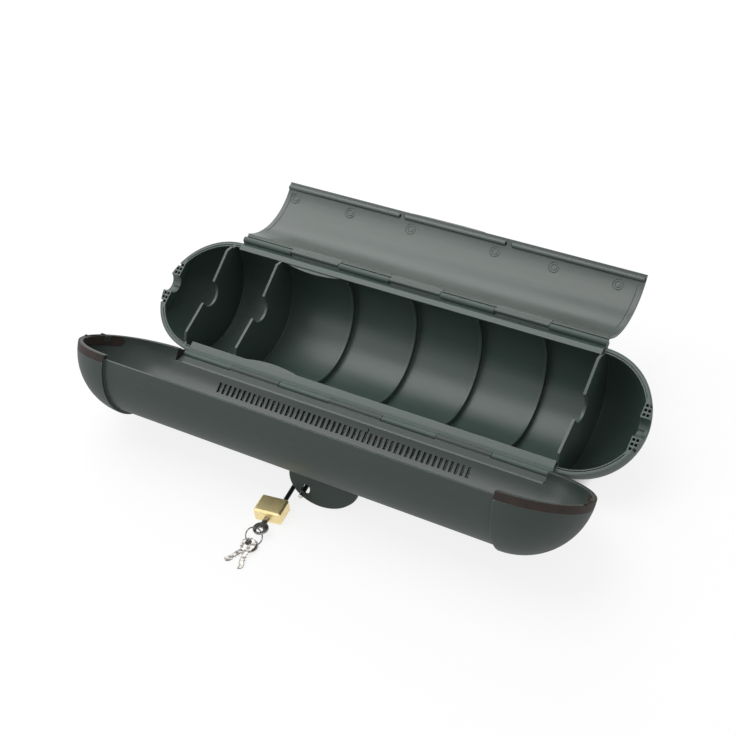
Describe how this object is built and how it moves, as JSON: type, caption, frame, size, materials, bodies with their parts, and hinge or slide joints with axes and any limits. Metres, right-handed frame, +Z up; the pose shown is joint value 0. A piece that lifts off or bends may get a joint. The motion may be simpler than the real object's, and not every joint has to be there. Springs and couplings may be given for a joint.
{
  "type": "extension cord safety cover",
  "caption": "Long rounded weatherproof box in three hinged mouldings that encloses the joint of two extension cords and is closed with a padlock",
  "frame": {"origin": "middle of the bounding box on the table that the open box stands on", "axes": "+X along the box from its left tip to its right tip, +Y from the lowered cover towards the raised flap, +Z up"},
  "size_m": [0.394, 0.319, 0.0843],
  "materials": {
    "dark_green_plastic": "satin moulded",
    "seal_rubber": "matt",
    "lock_brass": "brushed",
    "dark_steel": "dark coated steel",
    "spring_steel": "drawn wire",
    "nickel_key": "worn nickel plating"
  },
  "bodies": {
    "base": {"base_shell": "dark_green_plastic"},
    "cover": {"front_cover": "dark_green_plastic", "left_end_seal": "seal_rubber", "right_end_seal": "seal_rubber"},
    "flap": {"rear_flap": "dark_green_plastic"},
    "shackle": {"shackle": "dark_steel"},
    "cup": {"spring_cup": "lock_brass"},
    "lock": {"padlock_body": "lock_brass", "heel_spring": "spring_steel", "latch_spring": "spring_steel", "driver_pins": "lock_brass", "pin_springs": "spring_steel", "chamber_plugs": "lock_brass"},
    "latch": {"latch_bolt": "lock_brass"},
    "plug": {"lock_plug": "lock_brass", "key_pins": "lock_brass", "key_in_lock": "nickel_key"},
    "ring": {"key_ring": "nickel_key"},
    "lower_key": {"lower_key": "nickel_key"},
    "upper_key": {"upper_key": "nickel_key"}
  },
  "joints": [
    {"name": "cover_hinge", "type": "hinge", "parent": "base", "child": "cover", "pos_m": [0, -0.01593, 0.02636], "axis": [1, 0, 0], "range_deg": [-118.1, 0]},
    {"name": "flap_hinge", "type": "hinge", "parent": "base", "child": "flap", "pos_m": [0, 0.07508, 0.07186], "axis": [1, 0, 0], "range_deg": [0, 159.6]},
    {"name": "padlock_swing", "type": "hinge", "parent": "cover", "child": "shackle", "pos_m": [-0.0017, -0.08233, 0.00792], "axis": [0, 0.8785, -0.4777], "range_deg": [-90, 0]},
    {"name": "shackle_turn", "type": "hinge", "parent": "shackle", "child": "cup", "pos_m": [-0.0102, -0.09894, 0.00525], "axis": [-0.1392, 0.9903, 0], "range_deg": [0, 164.66]},
    {"name": "shackle_slide", "type": "slide", "parent": "cup", "child": "lock", "axis": [-0.1392, 0.9903, 0], "range_m": [0, 0.008], "stiffness_N_per_m": 100, "springref_m": -0.01, "deforming": ["heel_spring"]},
    {"name": "plug_turn", "type": "hinge", "parent": "lock", "child": "plug", "pos_m": [-0.01409, -0.10756, 0.00525], "axis": [0.1392, -0.9903, 0], "range_deg": [0, 90]},
    {"name": "latch_slide", "type": "slide", "parent": "lock", "child": "latch", "axis": [0.9903, 0.1392, 0], "range_m": [0, 0.000905], "deforming": ["latch_spring"]},
    {"name": "ring_swing", "type": "hinge", "parent": "plug", "child": "ring", "pos_m": [-0.01092, -0.12726, 0.00525], "axis": [0, 0, 1], "range_deg": [-20, 20]},
    {"name": "lower_key_swing", "type": "hinge", "parent": "ring", "child": "lower_key", "pos_m": [-0.0099, -0.13825, 0.00197], "axis": [0.0285, 0.0559, -0.998], "range_deg": [0, 45]},
    {"name": "upper_key_swing", "type": "hinge", "parent": "ring", "child": "upper_key", "pos_m": [-0.01197, -0.13911, 0.00381], "axis": [0.0384, -0.1338, 0.9903], "range_deg": [0, 45]}
  ],
  "couplings": [
    {"joint": "latch_slide", "follows": "plug_turn", "m_per_rad": 0.0005762}
  ]
}
